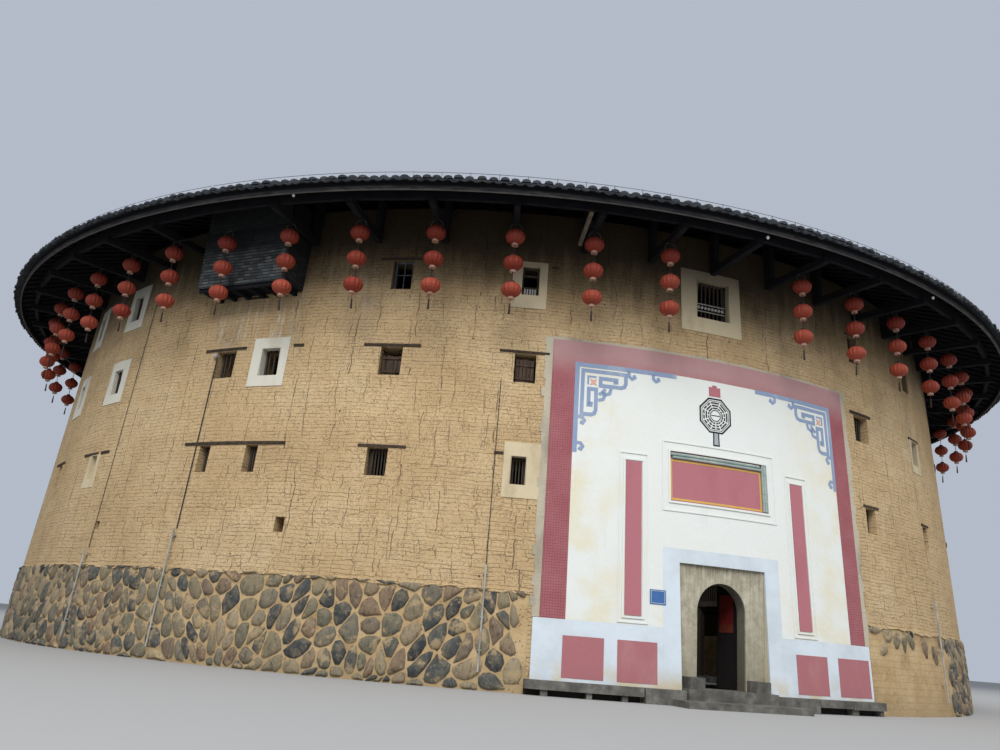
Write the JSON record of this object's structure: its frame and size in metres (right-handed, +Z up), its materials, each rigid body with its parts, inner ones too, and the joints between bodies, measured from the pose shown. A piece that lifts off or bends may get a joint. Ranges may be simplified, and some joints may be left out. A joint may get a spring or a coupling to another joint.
{
  "type": "1:2 scale model of a tulou roundhouse",
  "caption": "Round rammed-earth house with a cobble plinth, a plastered entrance with two door leaves, a tiled ring roof with deep eaves and galleries round an open courtyard.",
  "frame": {"origin": "centre of the courtyard, on the axis of the ring, at the lowest ground that the plinth meets", "axes": "+Z up along the axis of the ring, -Y towards the main door, +X to the right for someone who faces the door from outside"},
  "size_m": [21.1838, 21.215, 7.3534],
  "materials": {
    "rammed_earth": "rough, coursed, with cracks and dark streaks under the eaves",
    "cobble": "rough river cobbles in tan clay",
    "cut_stone": "tooled, worn",
    "door_timber": "dark, matte",
    "dark_timber": "smoke-dark, rough",
    "grey_timber": "weathered",
    "white_plaster": "matte lime plaster with yellow stains",
    "rose_plaster": "matte painted plaster",
    "pale_blue_plaster": "matte painted plaster",
    "painted_board": "matte paint on moulded plaster",
    "lantern_cloth": "satin cloth",
    "slate": "small lapped slates, weathered",
    "roof_tile": "unglazed grey tile"
  },
  "bodies": {
    "house": {"earth_wall_1": "rammed_earth", "earth_wall_2": "rammed_earth", "earth_wall_3": "rammed_earth", "earth_wall_4": "rammed_earth", "earth_wall_5": "rammed_earth", "earth_wall_6": "rammed_earth", "wall_pier_right_2": "rammed_earth", "wall_pier_right_3": "rammed_earth", "wall_pier_right_4": "rammed_earth", "wall_pier_back_2": "rammed_earth", "wall_pier_back_3": "rammed_earth", "wall_pier_back_4": "rammed_earth", "wall_pier_left_2": "rammed_earth", "wall_pier_left_3": "rammed_earth", "wall_pier_left_4": "rammed_earth", "wall_left_of_door": "rammed_earth", "wall_right_of_door": "rammed_earth", "wall_over_door": "rammed_earth", "door_jamb_left": "rammed_earth", "door_jamb_right": "rammed_earth", "cobble_plinth_left": "cobble", "cobble_plinth_right": "cobble", "door_stone_arch": "cut_stone", "door_sill": "cut_stone", "door_block_left": "cut_stone", "door_block_right": "cut_stone", "door_step": "cut_stone", "kerb_left": "cut_stone", "kerb_right": "cut_stone", "courtyard_kerb": "cut_stone", "door_head_beam": "door_timber", "entrance_field": "white_plaster", "entrance_border": "rose_plaster", "door_band": "pale_blue_plaster", "dado_left": "pale_blue_plaster", "dado_right": "pale_blue_plaster", "name_board": "painted_board", "couplet_board_left": "painted_board", "couplet_board_right": "painted_board", "eaves_timbers_front_left": "dark_timber", "eaves_timbers_front_right": "dark_timber", "eaves_timbers_back_right": "dark_timber", "eaves_timbers_back_left": "dark_timber", "lantern_strings_front": "lantern_cloth", "lantern_strings_back": "lantern_cloth", "hanging_room": "slate", "outer_roof_front": "roof_tile", "outer_roof_back": "roof_tile", "inner_roof": "roof_tile", "ridge_cap": "roof_tile", "gallery_posts_front": "grey_timber", "gallery_posts_back": "grey_timber", "floor_2": "grey_timber", "floor_3": "grey_timber", "floor_4": "grey_timber", "gallery_rail_2": "grey_timber", "gallery_rail_3": "grey_timber", "gallery_rail_4": "grey_timber"},
    "door_leaf_left": {"door_leaf_left": "door_timber"},
    "door_leaf_right": {"door_leaf_right": "door_timber"}
  },
  "joints": [
    {"name": "left_leaf_hinge", "type": "hinge", "parent": "house", "child": "door_leaf_left", "pos_m": [-0.405, -9.155, 0.2], "axis": [0, 0, -1], "range_deg": [-10, 80]},
    {"name": "right_leaf_hinge", "type": "hinge", "parent": "house", "child": "door_leaf_right", "pos_m": [0.405, -9.155, 0.2], "axis": [0, 0, 1], "range_deg": [-10, 80]}
  ]
}
